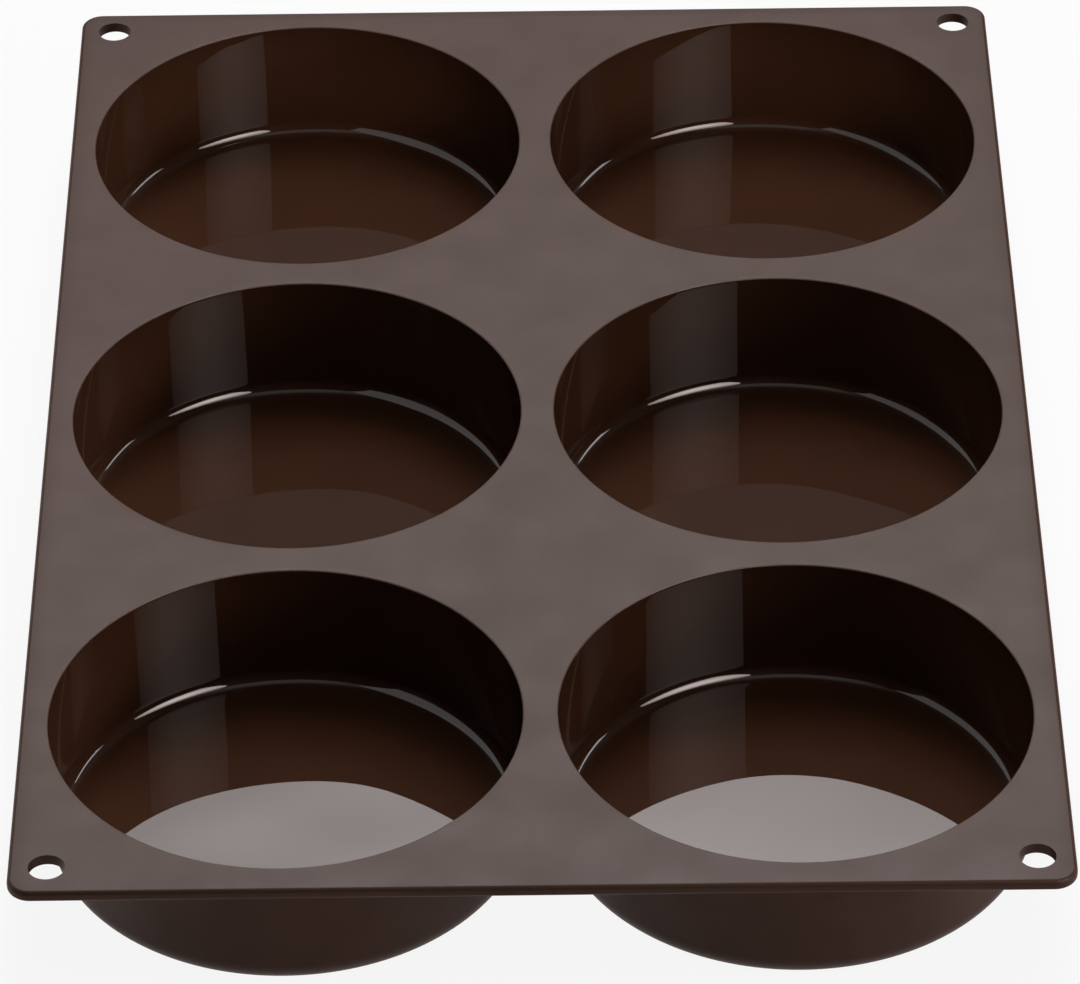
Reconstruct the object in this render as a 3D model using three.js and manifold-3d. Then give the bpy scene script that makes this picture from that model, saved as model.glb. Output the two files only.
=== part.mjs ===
// Six-cup bun pan in flexible silicone: a thin flat deck with a round mouth over each shallow cup and
// a hanging hole in each corner. Every cup hangs under the deck, and the pan stands on the cups' floors.
// Millimetres, +Z up, +Y towards the back. The origin is under the middle of the pan, on the plane that
// the cups stand on.
import * as THREE from "three";
import { mergeVertices, toCreasedNormals } from "three/addons/utils/BufferGeometryUtils.js";
import Module from "manifold-3d";

// Layout of the cups and of the deck's bare underside around them
const COLUMNS = ["left", "right"];
const ROWS = ["front", "middle", "back"];
const SPACE_ACROSS = 1.7; // between the roots of two cups side by side
const SPACE_ALONG = 2.4; // between the roots of two cups in line
const SIDE_LEDGE = 2.75; // from a cup's root to the deck's left or right edge
const END_LEDGE = 3.8; // from a cup's root to the deck's front or back edge

// Cup
const MOUTH_DIAMETER = 91; // where the inner wall would meet the deck's top face
const CUP_DEPTH = 27; // from the deck's top face down to the cup's floor
const WALL_THICKNESS = 1.4;
const FLOOR_THICKNESS = 1.4;
const WALL_DRAFT = THREE.MathUtils.degToRad(1.5); // the wall leans out towards the mouth
const FLOOR_FILLET = 3.6; // inside, between wall and floor
const ROOT_FILLET = 1.2; // outside, between wall and the deck's underside
const LIP_ROUND = 0.3; // on the mouth's edge at the deck's top face

// Deck
const DECK_THICKNESS = 2.2;
const DECK_CORNER = 4.5; // radius of the deck's corners, seen from above
const EDGE_ROUND = 0.3; // on the deck's outer edges; its hanging holes have sharp ones
const ROUND_LIMIT = 0.45; // share of the deck's thickness that one round may take
const HOLE_DIAMETER = 7;
const HOLE_TO_EDGE = 3.8; // material between a hanging hole and each deck edge beside it

// Finish
const SILICONE_BROWN = 0x2e1f19;
const SATIN = 0.55;
const GLOSSY = 0.2;

// Facets
const TURN_STEPS = 48; // around a cup
const HOLE_STEPS = 24; // around a hanging hole
const ARC_DIVISIONS = 2; // an arc in a profile gets twice as many steps
const EDGE_STEPS = 2; // across the round on a deck edge
const CREASE_ANGLE = THREE.MathUtils.degToRad(32); // sharper edges than this shade as edges
const CUT_OVERRUN = 1; // how far a cutter runs past the faces that it cuts

const QUARTER_TURN = Math.PI / 2;
const CORNERS = [[1, -1], [1, 1], [-1, 1], [-1, -1]]; // anticlockwise from the front right

// Heights are measured from the deck's underside, where deck and cups meet
const deckTop = DECK_THICKNESS;
const cupFloor = deckTop - CUP_DEPTH;
const cupBottom = cupFloor - FLOOR_THICKNESS;

function innerRadius(height) {
  return MOUTH_DIAMETER / 2 - (deckTop - height) * Math.tan(WALL_DRAFT);
}

function outerRadius(height) {
  return innerRadius(height) + WALL_THICKNESS / Math.cos(WALL_DRAFT);
}

// A round that touches a flat face and a drafted wall has its centre this far from the wall, level with it
function acrossWall(round) {
  return round / Math.cos(WALL_DRAFT);
}

const rootRadius = outerRadius(-ROOT_FILLET) + acrossWall(ROOT_FILLET);
const pitchAcross = 2 * rootRadius + SPACE_ACROSS;
const pitchAlong = 2 * rootRadius + SPACE_ALONG;
const deckWidth = (COLUMNS.length - 1) * pitchAcross + 2 * (rootRadius + SIDE_LEDGE);
const deckLength = (ROWS.length - 1) * pitchAlong + 2 * (rootRadius + END_LEDGE);

// Middle of the cup in a column and a row, about the middle of the pan
function cupCentre(column, row) {
  const x = (column - (COLUMNS.length - 1) / 2) * pitchAcross;
  const y = (row - (ROWS.length - 1) / 2) * pitchAlong;
  return new THREE.Vector3(x, y, 0);
}

// Solid of revolution about +Z, from a profile of radius and height that starts and ends on the axis
function revolve(profile) {
  const geometry = new THREE.LatheGeometry(profile.getPoints(ARC_DIVISIONS), TURN_STEPS);
  geometry.rotateX(QUARTER_TURN);
  return geometry;
}

// Section through one cup: from the middle of its bottom, up the outside, over the seat, down the inside
function cupProfile() {
  const bottomFillet = FLOOR_FILLET + WALL_THICKNESS;
  const innerCentre = cupFloor + FLOOR_FILLET;
  const outerCentre = cupBottom + bottomFillet;
  const innerCentreRadius = innerRadius(innerCentre) - acrossWall(FLOOR_FILLET);
  const outerCentreRadius = outerRadius(outerCentre) - acrossWall(bottomFillet);

  const profile = new THREE.Path();
  profile.moveTo(0, cupBottom);
  profile.lineTo(outerCentreRadius, cupBottom);
  profile.absarc(outerCentreRadius, outerCentre, bottomFillet, -QUARTER_TURN, -WALL_DRAFT, false);
  profile.absarc(rootRadius, -ROOT_FILLET, ROOT_FILLET, Math.PI - WALL_DRAFT, QUARTER_TURN, true);
  profile.lineTo(innerRadius(0), 0);
  profile.absarc(innerCentreRadius, innerCentre, FLOOR_FILLET, -WALL_DRAFT, -QUARTER_TURN, true);
  profile.lineTo(0, cupFloor);
  return profile;
}

// Space that one mouth takes out of the deck: the drafted wall, opening out over the rounded lip
function mouthProfile() {
  const lipRound = Math.min(LIP_ROUND, ROUND_LIMIT * DECK_THICKNESS);
  const lipCentre = deckTop - lipRound;
  const lipRadius = innerRadius(lipCentre) + acrossWall(lipRound);

  const profile = new THREE.Path();
  profile.moveTo(0, -CUT_OVERRUN);
  profile.lineTo(innerRadius(-CUT_OVERRUN), -CUT_OVERRUN);
  profile.absarc(lipRadius, lipCentre, lipRound, Math.PI - WALL_DRAFT, QUARTER_TURN, true);
  profile.lineTo(lipRadius, deckTop + CUT_OVERRUN);
  profile.lineTo(0, deckTop + CUT_OVERRUN);
  return profile;
}

// Outline of the deck, with its round corners
function deckOutline() {
  const cornerX = deckWidth / 2 - DECK_CORNER;
  const cornerY = deckLength / 2 - DECK_CORNER;
  const outline = new THREE.Shape();
  CORNERS.forEach(([sideX, sideY], corner) => {
    const start = (corner - 1) * QUARTER_TURN;
    outline.absarc(sideX * cornerX, sideY * cornerY, DECK_CORNER, start, start + QUARTER_TURN, false);
  });
  outline.closePath();
  return outline;
}

// Sheet with rounded edges, lying on the plane where deck and cups meet
function deckSheet() {
  const edgeRound = Math.min(EDGE_ROUND, ROUND_LIMIT * DECK_THICKNESS);
  const sheet = new THREE.ExtrudeGeometry(deckOutline(), {
    depth: DECK_THICKNESS - 2 * edgeRound,
    curveSegments: ARC_DIVISIONS,
    bevelThickness: edgeRound,
    bevelSize: edgeRound,
    bevelOffset: -edgeRound,
    bevelSegments: EDGE_STEPS,
  });
  sheet.translate(0, 0, edgeRound);
  return sheet;
}

// Space that one hanging hole takes out of the deck, about the deck's middle
function hangingHole([sideX, sideY]) {
  const inset = HOLE_TO_EDGE + HOLE_DIAMETER / 2;
  const height = DECK_THICKNESS + 2 * CUT_OVERRUN;
  const hole = new THREE.CylinderGeometry(HOLE_DIAMETER / 2, HOLE_DIAMETER / 2, height, HOLE_STEPS);
  hole.rotateX(QUARTER_TURN);
  hole.translate(sideX * (deckWidth / 2 - inset), sideY * (deckLength / 2 - inset), DECK_THICKNESS / 2);
  return hole;
}

const wasm = await Module();
wasm.setup();

function toSolid(geometry) {
  const bare = geometry.clone();
  bare.deleteAttribute("normal");
  bare.deleteAttribute("uv");
  const merged = mergeVertices(bare);
  const vertProperties = new Float32Array(merged.attributes.position.array);
  const triVerts = new Uint32Array(merged.index.array);
  return new wasm.Manifold(new wasm.Mesh({ numProp: 3, vertProperties, triVerts }));
}

function toGeometry(solid) {
  const { vertProperties, triVerts } = solid.getMesh();
  const geometry = new THREE.BufferGeometry();
  geometry.setAttribute("position", new THREE.BufferAttribute(vertProperties, 3));
  geometry.setIndex(new THREE.BufferAttribute(triVerts, 1));
  return geometry;
}

// Calls what it is given with each cup's name and middle
function eachCup(visit) {
  ROWS.forEach((rowName, row) => {
    COLUMNS.forEach((columnName, column) => {
      visit(`cup_${rowName}_${columnName}`, cupCentre(column, row));
    });
  });
}

function deckGeometry() {
  const mouth = toSolid(revolve(mouthProfile()));
  let deck = toSolid(deckSheet());
  eachCup((name, centre) => {
    deck = deck.subtract(mouth.translate(centre.x, centre.y, centre.z));
  });
  for (const corner of CORNERS) {
    deck = deck.subtract(toSolid(hangingHole(corner)));
  }
  return toGeometry(deck);
}

function siliconePiece(name, geometry, roughness) {
  const material = new THREE.MeshStandardMaterial({ color: SILICONE_BROWN, roughness, metalness: 0 });
  const piece = new THREE.Mesh(toCreasedNormals(geometry, CREASE_ANGLE), material);
  piece.name = name;
  return piece;
}

// The pan, lifted so that the cups stand on the origin's plane
const pan = new THREE.Group();
pan.name = "bun_pan";
pan.position.z = -cupBottom;
pan.add(siliconePiece("deck", deckGeometry(), SATIN));

const cup = revolve(cupProfile());
eachCup((name, centre) => {
  const piece = siliconePiece(name, cup, GLOSSY);
  piece.position.copy(centre);
  pan.add(piece);
});

export default pan;
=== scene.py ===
"""Looks of a six-cup silicone bun pan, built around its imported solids. Metres, +Z up, +Y to the back."""

import math

import bmesh
import bpy
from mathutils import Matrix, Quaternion, Vector, noise


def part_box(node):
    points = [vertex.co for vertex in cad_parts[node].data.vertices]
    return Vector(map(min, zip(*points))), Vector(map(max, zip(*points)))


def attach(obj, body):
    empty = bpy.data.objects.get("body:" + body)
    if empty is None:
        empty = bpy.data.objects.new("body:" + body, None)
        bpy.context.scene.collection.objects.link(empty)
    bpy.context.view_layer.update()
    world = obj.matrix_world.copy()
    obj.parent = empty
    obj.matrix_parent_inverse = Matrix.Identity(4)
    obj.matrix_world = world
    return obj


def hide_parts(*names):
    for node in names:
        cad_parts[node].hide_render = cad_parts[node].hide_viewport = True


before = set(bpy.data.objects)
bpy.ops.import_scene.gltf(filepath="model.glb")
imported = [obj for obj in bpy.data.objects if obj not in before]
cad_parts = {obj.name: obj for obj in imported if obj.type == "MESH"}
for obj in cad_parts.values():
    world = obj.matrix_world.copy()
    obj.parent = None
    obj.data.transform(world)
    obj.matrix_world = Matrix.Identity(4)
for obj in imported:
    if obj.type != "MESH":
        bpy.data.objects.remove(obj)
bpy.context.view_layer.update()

# Sizes of the moulding that the frame's boxes don't give
MOUTH_RADIUS = 0.0455  # where the inner wall would meet the deck's top face
CUP_DEPTH = 0.027  # from the deck's top face down to the cup's floor
WALL_THICKNESS = 0.0014
WALL_DRAFT = math.radians(1.0)  # the wall leans out towards the mouth
FLOOR_FILLET = 0.0026  # inside, between wall and floor
FOOT_FILLET = 0.005  # outside, between wall and underside
ROOT_FILLET = 0.0012  # outside, between wall and the deck's underside
LIP_ROUND = 0.0003  # on a mouth's edge at the deck's top face
EDGE_ROUND = 0.0007  # on the deck's outer edges
BORDER = 0.0035  # width of the strip along the deck's edges that bends down
BORDER_DROP = 0.00025  # how far it has bent at the edge
DECK_CORNER = 0.0045  # radius of the deck's corners, seen from above
HOLE_RADIUS = 0.0035
HOLE_INSET = 0.0073  # from a hanging hole's middle to the deck edges beside it
WARP = 0.00015  # how far the soft moulding's inside strays from its true shape
WARP_WIDTH = 0.03  # from one bulge of it to the next
WARP_SEED = 3  # picks the pattern of the bulges

# Wear along the middle of a rounded edge, from 0 to 1
LIP_WEAR = 1
EDGE_WEAR = 0.5
FOOT_WEAR = 0.5

# Fineness of the meshes
AROUND_CUP = 160
AROUND_HOLE = 48
CORNER_STEPS = 14
ROUND_STEPS = 6
BORDER_STEPS = 8
FILLET_STEPS = 12
WALL_STEPS = 8
FLOOR_STEPS = 12
HOLD = 0.0003  # width of the flat strip that keeps a round's shading off the flat beside it

TOP, OUTSIDE, INSIDE = range(3)  # material slots of every piece
QUARTER_TURN = math.pi / 2
CORNERS = ((1, -1), (1, 1), (-1, 1), (-1, -1))  # anticlockwise from the front right

deck_low, deck_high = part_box("deck")
cup_names = sorted(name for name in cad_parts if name.startswith("cup_"))
noise.seed_set(WARP_SEED)


def cup_centre(name):
    """Middle of a cup's box."""
    low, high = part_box(name)
    return (low + high) / 2


# Profiles, as points of (radius or inset, height, wear)

def across_wall(size):
    """A length square to the drafted wall, measured level."""
    return size / math.cos(WALL_DRAFT)


def inner_radius(height):
    """Radius of a cup's inner wall at a height."""
    return MOUTH_RADIUS - (deck_high.z - height) * math.tan(WALL_DRAFT)


def outer_radius(height):
    """Radius of a cup's outer wall at a height."""
    return inner_radius(height) + across_wall(WALL_THICKNESS)


def arc(radius, height, size, start, end, steps, worn=0):
    """Points on a round about the place at radius and height, most worn in its middle."""
    points = []
    for step in range(steps + 1):
        angle = start + (end - start) * step / steps
        wear = worn * math.sin(math.pi * step / steps)
        points.append((radius + size * math.cos(angle), height + size * math.sin(angle), wear))
    return points


def line(start, end, steps):
    """Points between two others, which are left out, with a flat strip at each end."""
    strip = HOLD / math.dist(start, end)
    shares = [strip] + [step / steps for step in range(1, steps)] + [1 - strip]
    return [(start[0] + (end[0] - start[0]) * s, start[1] + (end[1] - start[1]) * s, 0) for s in shares]


def border_drop(inset):
    """How far the deck's border has bent down at a distance in from the edge."""
    return BORDER_DROP * max(0, 1 - inset / BORDER) ** 2


def edge_profile():
    """The deck's border on top, its edge and its border underneath, by how far in they are."""
    top = deck_high.z
    low = deck_low.z
    insets = [BORDER + (EDGE_ROUND - BORDER) * step / BORDER_STEPS for step in range(BORDER_STEPS)]
    over = [(inset, top, 0) for inset in insets]
    edge = []
    for height, start in ((top - EDGE_ROUND, QUARTER_TURN), (low + EDGE_ROUND, 2 * QUARTER_TURN)):
        edge += arc(EDGE_ROUND, height, EDGE_ROUND, start, start + QUARTER_TURN, ROUND_STEPS, EDGE_WEAR)
    under = [(inset, low, 0) for inset in reversed(insets)]
    return [[(inset, height - border_drop(inset), wear) for inset, height, wear in part]
            for part in (over, edge, under)]


def mouth_profile():
    """A mouth's rounded lip, and its wall down to the cup's seat."""
    height = deck_high.z - LIP_ROUND
    radius = inner_radius(height) + across_wall(LIP_ROUND)
    lip = arc(radius, height, LIP_ROUND, QUARTER_TURN, math.pi - WALL_DRAFT, ROUND_STEPS, LIP_WEAR)
    seat = (inner_radius(deck_low.z), deck_low.z, 0)
    return lip, line(lip[-1], seat, 1) + [seat]


def outside_profile(bottom, seat):
    """A cup's outside from its bottom up to its seat under the deck."""
    foot_height = bottom + FOOT_FILLET
    foot_radius = outer_radius(foot_height) - across_wall(FOOT_FILLET)
    root_height = seat - ROOT_FILLET
    root_radius = outer_radius(root_height) + across_wall(ROOT_FILLET)
    foot = arc(foot_radius, foot_height, FOOT_FILLET, -QUARTER_TURN, -WALL_DRAFT, FILLET_STEPS, FOOT_WEAR)
    root = arc(root_radius, root_height, ROOT_FILLET, math.pi - WALL_DRAFT, QUARTER_TURN, ROUND_STEPS)
    flat = line((0, bottom, 0), foot[0], FLOOR_STEPS)
    return flat + foot + line(foot[-1], root[0], WALL_STEPS) + root


def inside_profile(floor, seat):
    """A cup's inside from its seat down to its floor."""
    fillet_height = floor + FLOOR_FILLET
    fillet_radius = inner_radius(fillet_height) - across_wall(FLOOR_FILLET)
    fillet = arc(fillet_radius, fillet_height, FLOOR_FILLET, -WALL_DRAFT, -QUARTER_TURN, FILLET_STEPS)
    start = (inner_radius(seat), seat, 0)
    wall = line(start, fillet[0], WALL_STEPS)
    return [start] + wall + fillet + line(fillet[-1], (0, floor, 0), FLOOR_STEPS)


# Meshes

def circle(centre, radius, height, count):
    """Points on a level circle."""
    angles = [2 * math.pi * step / count for step in range(count)]
    return [(centre.x + radius * math.cos(a), centre.y + radius * math.sin(a), height) for a in angles]


def deck_outline(inset, height):
    """Points on the deck's outline, drawn in by inset."""
    radius = DECK_CORNER - inset
    points = []
    for corner, (side_x, side_y) in enumerate(CORNERS):
        x = side_x * (deck_high.x - DECK_CORNER)
        y = side_y * (deck_high.y - DECK_CORNER)
        for step in range(CORNER_STEPS + 1):
            angle = (corner - 1 + step / CORNER_STEPS) * QUARTER_TURN
            points.append((x + radius * math.cos(angle), y + radius * math.sin(angle), height))
    return points


def new_bmesh():
    """Empty bmesh whose points carry how worn the surface is, from 0 to 1."""
    bm = bmesh.new()
    bm.verts.layers.float.new("wear")
    return bm


def add_ring(bm, points, wear=0):
    """Points of a closed line, all as worn."""
    layer = bm.verts.layers.float["wear"]
    ring = [bm.verts.new(point) for point in points]
    for vert in ring:
        vert[layer] = wear
    return ring


def add_face(bm, verts, slot):
    """Smooth face with the material of a slot."""
    face = bm.faces.new(verts)
    face.material_index = slot
    face.smooth = True


def bridge(bm, first, second, slot):
    """Quads between two rings with as many points."""
    for i in range(len(first)):
        add_face(bm, (first[i - 1], first[i], second[i], second[i - 1]), slot)


def bridge_all(bm, rings, slot):
    """Quads from each ring to the next."""
    for first, second in zip(rings, rings[1:]):
        bridge(bm, first, second, slot)


def close_to_axis(bm, ring, point, slot):
    """Triangles from a ring to one point inside it."""
    middle = bm.verts.new(point)
    for i in range(len(ring)):
        add_face(bm, (ring[i - 1], ring[i], middle), slot)


def ring_edges(bm, ring):
    """Edges between the points of a ring."""
    return [bm.edges.get((ring[i - 1], ring[i])) for i in range(len(ring))]


def crease(bm, ring):
    """Makes a ring a sharp edge."""
    for edge in ring_edges(bm, ring):
        edge.smooth = False


def fill_flat(bm, rings, slot):
    """Flat face bounded by the first ring, with the other rings as holes in it."""
    edges = [edge for ring in rings for edge in ring_edges(bm, ring)]
    made = bmesh.ops.triangle_fill(bm, edges=edges, use_beauty=True)
    for item in made["geom"]:
        if isinstance(item, bmesh.types.BMFace):
            item.material_index = slot
            item.smooth = True


def add_object(name, data):
    """New object in the scene."""
    made = bpy.data.objects.new(name, data)
    bpy.context.scene.collection.objects.link(made)
    return made


def finish_mesh(name, bm, materials):
    """Turns a bmesh into an object with these materials in its slots."""
    mesh = bpy.data.meshes.new(name)
    bm.to_mesh(mesh)
    bm.free()
    for material in materials:
        mesh.materials.append(material)
    return add_object(name, mesh)


def make_piece(name, bm, materials):
    """Turns a finished bmesh into a piece of the pan."""
    bmesh.ops.recalc_face_normals(bm, faces=bm.faces)
    piece = finish_mesh(name, bm, materials)
    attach(piece, "root")
    return piece


# Deck

def add_deck_edge(bm):
    """The deck's border and edge. Gives the rings that bound its top and its underside."""
    over, edge, under = edge_profile()
    rings = [add_ring(bm, deck_outline(inset, height), wear) for inset, height, wear in over + edge + under]
    bridge_all(bm, rings[:len(over) + 1], TOP)
    bridge_all(bm, rings[len(over):], OUTSIDE)
    return rings[0], rings[-1]


def add_hanging_hole(bm, side_x, side_y):
    """The hanging hole in one corner. Gives its upper and lower ring."""
    middle = Vector((side_x * (deck_high.x - HOLE_INSET), side_y * (deck_high.y - HOLE_INSET), 0))
    ends = (deck_high.z, deck_low.z)
    rings = [add_ring(bm, circle(middle, HOLE_RADIUS, height, AROUND_HOLE)) for height in ends]
    bridge_all(bm, rings, OUTSIDE)
    return rings


def add_mouth(bm, middle):
    """The mouth over one cup. Gives the ring around its lip and the one at the cup's seat."""
    lip, wall = mouth_profile()
    strip = [(lip[0][0] + HOLD, deck_high.z, 0)]
    rings = [add_ring(bm, circle(middle, r, h, AROUND_CUP), wear) for r, h, wear in strip + lip + wall]
    bridge_all(bm, rings[:-len(wall)], TOP)
    bridge_all(bm, rings[-len(wall) - 1:], INSIDE)
    return rings[0], rings[-1]


def make_deck(materials):
    """The sheet with its six mouths and four hanging holes."""
    bm = new_bmesh()
    edge = add_deck_edge(bm)
    holes = [add_hanging_hole(bm, side_x, side_y) for side_x, side_y in CORNERS]
    mouths = [add_mouth(bm, cup_centre(name)) for name in cup_names]
    top_rings, low_rings = zip(edge, *holes, *mouths)
    fill_flat(bm, top_rings, TOP)
    fill_flat(bm, low_rings, OUTSIDE)
    for upper, lower in holes:
        crease(bm, upper)
        crease(bm, lower)
    for lip, seat in mouths:
        crease(bm, seat)
    piece = make_piece("deck_sheet", bm, materials)
    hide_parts("deck")


# Cups

def warp(points, floor, seat):
    """Points of a cup's inside, strayed a little from their true places, the more the deeper they are."""
    moved = []
    for point in points:
        place = Vector(point)
        share = (seat - place.z) / (seat - floor)
        moved.append(place + share * WARP * noise.noise_vector(place / WARP_WIDTH))
    return moved


def make_cup(name, materials):
    """One cup: its outside, the seat under the deck and its inside."""
    low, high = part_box(name)
    middle = cup_centre(name)
    floor = deck_high.z - CUP_DEPTH
    bm = new_bmesh()
    outside = []
    for radius, height, wear in outside_profile(low.z, high.z):
        outside.append(add_ring(bm, circle(middle, radius, height, AROUND_CUP), wear))
    inside = []
    for radius, height, wear in inside_profile(floor, high.z):
        inside.append(add_ring(bm, warp(circle(middle, radius, height, AROUND_CUP), floor, high.z), wear))
    close_to_axis(bm, outside[0], (middle.x, middle.y, low.z), OUTSIDE)
    bridge_all(bm, outside, OUTSIDE)
    bridge(bm, outside[-1], inside[0], OUTSIDE)
    bridge_all(bm, inside, INSIDE)
    floor_middle = warp([(middle.x, middle.y, floor)], floor, high.z)[0]
    close_to_axis(bm, inside[-1], floor_middle, INSIDE)
    crease(bm, outside[-1])
    crease(bm, inside[0])
    piece = make_piece(name.replace("cup_", "moulded_cup_"), bm, materials)
    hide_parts(name)


# Materials

MOTTLED = 0.7  # how far the mottling goes on the scale of tones, of which worn edges are the end
CLOUD_LOW = 0.3  # nearly all of a cloudy pattern lies between these two
CLOUD_HIGH = 0.7
CLOUD_DETAIL = 3


def clouds(tree, size):
    """Cloudy pattern from 0 to 1, with patches about as wide as size."""
    place = tree.nodes.new("ShaderNodeTexCoord")
    pattern = tree.nodes.new("ShaderNodeTexNoise")
    pattern.inputs["Scale"].default_value = 1 / size
    pattern.inputs["Detail"].default_value = CLOUD_DETAIL
    tree.links.new(place.outputs["Object"], pattern.inputs["Vector"])
    return pattern.outputs[0]


def remap(tree, value, start, end, low, high):
    """Takes a value from the range of start and end to that of low and high."""
    change = tree.nodes.new("ShaderNodeMapRange")
    change.inputs["From Min"].default_value = start
    change.inputs["From Max"].default_value = end
    change.inputs["To Min"].default_value = low
    change.inputs["To Max"].default_value = high
    tree.links.new(value, change.inputs["Value"])
    return change.outputs["Result"]


def combine(tree, operation, first, second):
    """One value from two."""
    both = tree.nodes.new("ShaderNodeMath")
    both.operation = operation
    tree.links.new(first, both.inputs[0])
    tree.links.new(second, both.inputs[1])
    return both.outputs["Value"]


def tones(tree, patch):
    """From 0 to MOTTLED over the patches of a surface, and up to 1 along its worn edges."""
    mottled = remap(tree, clouds(tree, patch), CLOUD_LOW, CLOUD_HIGH, 0, MOTTLED)
    worn = tree.nodes.new("ShaderNodeAttribute")
    worn.attribute_name = "wear"
    return combine(tree, "MAXIMUM", mottled, worn.outputs["Fac"])


def silicone(name, colour, contrast, roughness, worn_roughness, refraction, patch):
    """Mottled silicone, lighter and smoother along its worn edges."""
    material = bpy.data.materials.new(name)
    material.use_nodes = True
    tree = material.node_tree
    shader = tree.nodes["Principled BSDF"]
    tone = tones(tree, patch)
    ramp = tree.nodes.new("ShaderNodeValToRGB")
    stops = ramp.color_ramp.elements
    stops.new(MOTTLED)
    for stop, level in zip(stops, (1 - contrast, 1 + contrast, 1 + 2 * contrast)):
        stop.color = (*(level * channel for channel in colour), 1)
    tree.links.new(tone, ramp.inputs[0])
    tree.links.new(ramp.outputs["Color"], shader.inputs["Base Color"])
    tree.links.new(remap(tree, tone, 0, 1, roughness, worn_roughness), shader.inputs["Roughness"])
    shader.inputs["IOR"].default_value = refraction
    return material


def add_relief(material, size, depth):
    """Uneven surface with bumps about as wide as size."""
    tree = material.node_tree
    relief = tree.nodes.new("ShaderNodeBump")
    relief.inputs["Distance"].default_value = depth
    tree.links.new(clouds(tree, size), relief.inputs["Height"])
    tree.links.new(relief.outputs["Normal"], tree.nodes["Principled BSDF"].inputs["Normal"])


def satin_silicone():
    """The deck's top, with a fine moulded texture and a soft sheen."""
    material = silicone("satin_silicone", colour=(0.059, 0.0228, 0.013), contrast=0.06, roughness=0.6,
                        worn_roughness=0.5, refraction=1.53, patch=0.012)
    add_relief(material, size=0.0006, depth=0.00002)
    return material


def matt_silicone():
    """The outside, underside and edges, with a coarser texture and little sheen."""
    material = silicone("matt_silicone", colour=(0.056, 0.0212, 0.0108), contrast=0.08, roughness=0.54,
                        worn_roughness=0.44, refraction=1.24, patch=0.009)
    add_relief(material, size=0.0008, depth=0.00003)
    return material


def glossy_silicone():
    """The cups' polished inside, with a faint haze."""
    material = silicone("glossy_silicone", colour=(0.055, 0.021, 0.0096), contrast=0.07, roughness=0.005,
                        worn_roughness=0.012, refraction=1.5, patch=0.015)
    shader = material.node_tree.nodes["Principled BSDF"]
    shader.inputs["Coat Weight"].default_value = 0.04
    shader.inputs["Coat Roughness"].default_value = 0.5
    add_relief(material, size=0.002, depth=0.0000004)
    return material


# Stage

STAGE_RADIUS = 4
STAGE_HEIGHT = -0.0002  # just under the cups
AROUND_STAGE = 64
WHITE_SHARE = 0.9  # how much of the floor's brightness doesn't depend on the light on it
PAPER_WHITE = (0.9, 0.9, 0.9, 1)
PAPER_ROUGHNESS = 0.9
STUDIO_FRONT = 0.008  # the studio's brightness on the camera's side
STUDIO_BACK = 0.155  # and behind the pan
STUDIO_BLEND = 0.75  # how far to the back it has risen to that, from level with the pan at 0


def white_paper():
    """White paper for the floor, which the camera and mirror faces see nearly evenly lit."""
    material = bpy.data.materials.new("floor")
    material.use_nodes = True
    tree = material.node_tree
    paper = tree.nodes["Principled BSDF"]
    paper.inputs["Base Color"].default_value = PAPER_WHITE
    paper.inputs["Roughness"].default_value = PAPER_ROUGHNESS
    white = tree.nodes.new("ShaderNodeEmission")
    white.inputs["Strength"].default_value = 1
    path = tree.nodes.new("ShaderNodeLightPath").outputs
    seen = combine(tree, "ADD", path["Is Camera Ray"], path["Is Glossy Ray"])
    seen = combine(tree, "ADD", seen, path["Is Transmission Ray"])
    mix = tree.nodes.new("ShaderNodeMixShader")
    tree.links.new(remap(tree, seen, 0, 1, 0, WHITE_SHARE), mix.inputs["Fac"])
    tree.links.new(paper.outputs["BSDF"], mix.inputs[1])
    tree.links.new(white.outputs["Emission"], mix.inputs[2])
    tree.links.new(mix.outputs["Shader"], tree.nodes["Material Output"].inputs["Surface"])
    return material


def make_floor():
    """Round floor that the pan stands on."""
    bm = new_bmesh()
    ring = add_ring(bm, circle(Vector((0, 0, 0)), STAGE_RADIUS, STAGE_HEIGHT, AROUND_STAGE))
    bm.faces.new(ring)
    floor = finish_mesh("floor", bm, [white_paper()])


def make_world():
    """Dim studio, lighter behind the pan than on the camera's side."""
    world = bpy.data.worlds.new("studio")
    bpy.context.scene.world = world
    world.use_nodes = True
    tree = world.node_tree
    place = tree.nodes.new("ShaderNodeTexCoord")
    axes = tree.nodes.new("ShaderNodeSeparateXYZ")
    tree.links.new(place.outputs["Generated"], axes.inputs["Vector"])
    level = remap(tree, axes.outputs["Y"], 0, STUDIO_BLEND, STUDIO_FRONT, STUDIO_BACK)
    tree.links.new(level, tree.nodes["Background"].inputs["Strength"])
    tree.nodes["Background"].inputs["Color"].default_value = (1, 1, 1, 1)


# Light

SECOND_BOUNCE = 0.23  # what polarisation leaves of a light that two mirror faces reflect in turn
FAINT_SECOND = 0.04  # the same for panels that are hardly seen in a second mirror face

OUTER_SIDES = {  # where a side's outer walls face, and the light that passes through each
    "back": (Vector((0, 1, 0)), 20),
    "left": (Vector((-1, 0, 0)), 19),
    "right": (Vector((1, 0, 0)), 5),
}
GLOW_DISTANCE = 1.25  # from such a wall back to the spot that lights it, measured level
GLOW_RISE = 0.56  # and how much higher the spot is
GLOW_SPREAD = math.radians(4.3)
GLOW_FLATNESS = 0.42  # height of the spot's beam as a share of its width
GLOW_SIZE = 0.005


def direction(azimuth, elevation):
    """Unit vector, in degrees to the right of straight ahead towards the camera, and up from level."""
    turn = math.radians(azimuth)
    rise = math.radians(elevation)
    return Vector((math.sin(turn) * math.cos(rise), -math.cos(turn) * math.cos(rise), math.sin(rise)))


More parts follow.
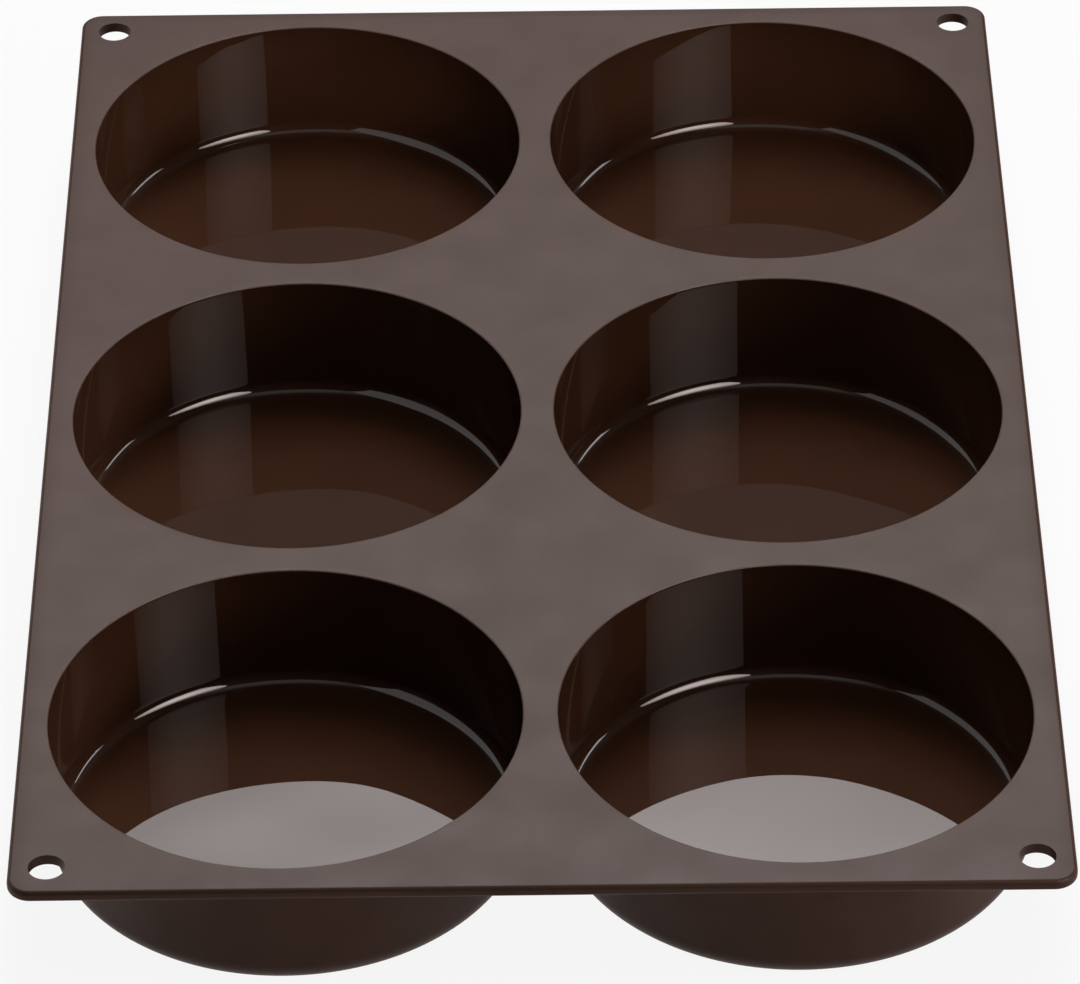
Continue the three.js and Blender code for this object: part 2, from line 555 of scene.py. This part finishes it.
def around(azimuth, elevation, distance):
    """Place at a distance from under the pan's middle."""
    return direction(azimuth, elevation) * distance


def aim(thing, place, facing):
    """Puts a lamp or the camera at a place, looking along facing."""
    thing.location = place
    thing.rotation_mode = "QUATERNION"
    thing.rotation_quaternion = facing.to_track_quat("-Z", "Y")


def add_panel(name, shape, size, place, facing, radiance, glossy=True, diffuse=True, second=SECOND_BOUNCE):
    """Soft panel at a place, shining along facing."""
    width, height = size
    area = width * height * (math.pi / 4 if shape == "ELLIPSE" else 1)
    data = bpy.data.lights.new(name, "AREA")
    data.shape = shape
    data.size = width
    data.size_y = height
    data.energy = math.pi * radiance * area
    data.use_nodes = True
    path = data.node_tree.nodes.new("ShaderNodeLightPath")
    dim_panel(data, path.outputs["Glossy Depth"], 1, 2, second)
    lamp = add_object(name, data)
    aim(lamp, place, facing)
    lamp.visible_camera = False
    lamp.visible_glossy = glossy
    lamp.visible_diffuse = diffuse
    return lamp


def dim_panel(data, value, start, end, share):
    """Lowers a panel's light to a share of it as a value of its nodes goes from start to end."""
    tree = data.node_tree
    level = remap(tree, value, start, end, 1, share)
    strength = tree.nodes["Emission"].inputs["Strength"]
    if strength.is_linked:
        level = combine(tree, "MULTIPLY", strength.links[0].from_socket, level)
    tree.links.new(level, strength)


def fade_outwards(lamp, centre, near, far, share):
    """Lowers a panel's light to a share of it from near to far away from a centre on it."""
    tree = lamp.data.node_tree
    point = tree.nodes.new("ShaderNodeNewGeometry")
    away = tree.nodes.new("ShaderNodeVectorMath")
    away.operation = "DISTANCE"
    away.inputs[1].default_value = centre
    tree.links.new(point.outputs["Position"], away.inputs[0])
    dim_panel(lamp.data, away.outputs["Value"], near, far, share)


def add_back_panel():
    """Large panel behind, which gives the deck its sheen and the front cups their light patches."""
    place = around(azimuth=180, elevation=58.24, distance=1.348)
    beside = Vector((0.08, 0, 0))
    panel = add_panel("back_panel", "RECTANGLE", size=(0.58, 0.915), place=place + beside, facing=-place,
                      radiance=11.5)
    panel.data.color = (1, 0.96, 0.955)
    fade_outwards(panel, place + beside / 2, near=0.07, far=0.43, share=0.28)


def add_front_panel():
    """Upright panel at the right front, whose mirror images are the bands and glints in the cups."""
    place = Vector((0.4235, -0.3405, 0.45))
    brightest = place + Vector((-0.034, -0.021, -0.07))
    facing = -direction(azimuth=32, elevation=0)
    panel = add_panel("front_panel", "ELLIPSE", size=(0.5, 0.86), place=place, facing=facing,
                      radiance=12.2, diffuse=False, second=0.43)
    panel.data.color = (1, 0.86, 0.82)
    fade_outwards(panel, brightest, near=0.05, far=0.3, share=0.3)


def add_side_panel():
    """Panel on the right that has no mirror image."""
    place = around(azimuth=77, elevation=17, distance=1.2)
    add_panel("side_panel", "RECTANGLE", size=(0.7, 0.3), place=place, facing=-place, radiance=6.6,
              glossy=False)


def add_right_strip():
    """Panel on the right that only mirror images show."""
    place = around(azimuth=112, elevation=27, distance=1.2)
    add_panel("right_strip", "RECTANGLE", size=(0.5, 0.25), place=place, facing=-place, radiance=5,
              diffuse=False, second=FAINT_SECOND)


def add_left_card():
    """Dim card close by on the left that only mirror images show."""
    place = Vector((-0.2, 0.05, 0.21))
    add_panel("left_card", "RECTANGLE", size=(0.5, 0.42), place=place, facing=Vector((1, 0, 0)),
              radiance=0.9, diffuse=False, second=FAINT_SECOND)


def add_top_panel():
    """Wide dim panel overhead, dark towards its back edge."""
    place = around(azimuth=0, elevation=78, distance=1.3)
    brightest = place - Vector((0, 0.3, 0))
    panel = add_panel("top_panel", "RECTANGLE", size=(1.3, 0.9), place=place, facing=-place, radiance=0.44)
    fade_outwards(panel, brightest, near=0.35, far=0.75, share=0)


def add_floor_fill():
    """Soft light from overhead that reaches the back of the cups' floors and has no mirror image."""
    place = around(azimuth=180, elevation=84, distance=1.3)
    add_panel("floor_fill", "RECTANGLE", size=(0.8, 0.8), place=place, facing=-place, radiance=0.7,
              glossy=False)


def add_glow(cup_name, side):
    """Stands for light that passes through a cup's thin outer wall, as a narrow spot on its inside."""
    outwards, energy = OUTER_SIDES[side]
    wall = cup_centre(cup_name) + MOUTH_RADIUS * outwards
    place = wall - GLOW_DISTANCE * outwards + Vector((0, 0, GLOW_RISE))
    name = f"glow_{cup_name}_{side}"
    data = bpy.data.lights.new(name, "SPOT")
    data.energy = energy
    data.spot_size = GLOW_SPREAD
    data.spot_blend = 1
    data.shadow_soft_size = GLOW_SIZE
    lamp = add_object(name, data)
    aim(lamp, place, wall - place)
    lamp.scale = (1, GLOW_FLATNESS, 1)
    lamp.visible_camera = False
    lamp.visible_glossy = False


# Camera, fitted to the round mouths and straight edges in the photograph

CAMERA_TARGET = Vector((0.00034, -0.0281, 0.0284))
CAMERA_DISTANCE = 1.340
CAMERA_AZIMUTH = 0.06  # degrees
CAMERA_ELEVATION = 36.81  # degrees
CAMERA_ROLL = math.radians(-0.70)
CAMERA_LENS_MM = 223.4
SENSOR_WIDTH_MM = 36


def make_camera():
    """Camera at the photograph's viewing angle."""
    data = bpy.data.cameras.new("camera")
    data.sensor_fit = "HORIZONTAL"
    data.sensor_width = SENSOR_WIDTH_MM
    data.lens = CAMERA_LENS_MM
    camera = add_object("camera", data)
    back = around(CAMERA_AZIMUTH, CAMERA_ELEVATION, CAMERA_DISTANCE)
    aim(camera, CAMERA_TARGET + back, -back)
    camera.rotation_quaternion @= Quaternion((0, 0, 1), CAMERA_ROLL)
    bpy.context.scene.camera = camera


# The pan and its studio

finishes = [satin_silicone(), matt_silicone(), glossy_silicone()]
make_deck(finishes)
for cup_name in cup_names:
    make_cup(cup_name, finishes)

make_floor()
make_world()
add_back_panel()
add_front_panel()
add_side_panel()
add_right_strip()
add_left_card()
add_top_panel()
add_floor_fill()
for cup_name in cup_names:
    for side in OUTER_SIDES:
        if side in cup_name:
            add_glow(cup_name, side)
make_camera()
bpy.context.scene.view_settings.view_transform = "Standard"
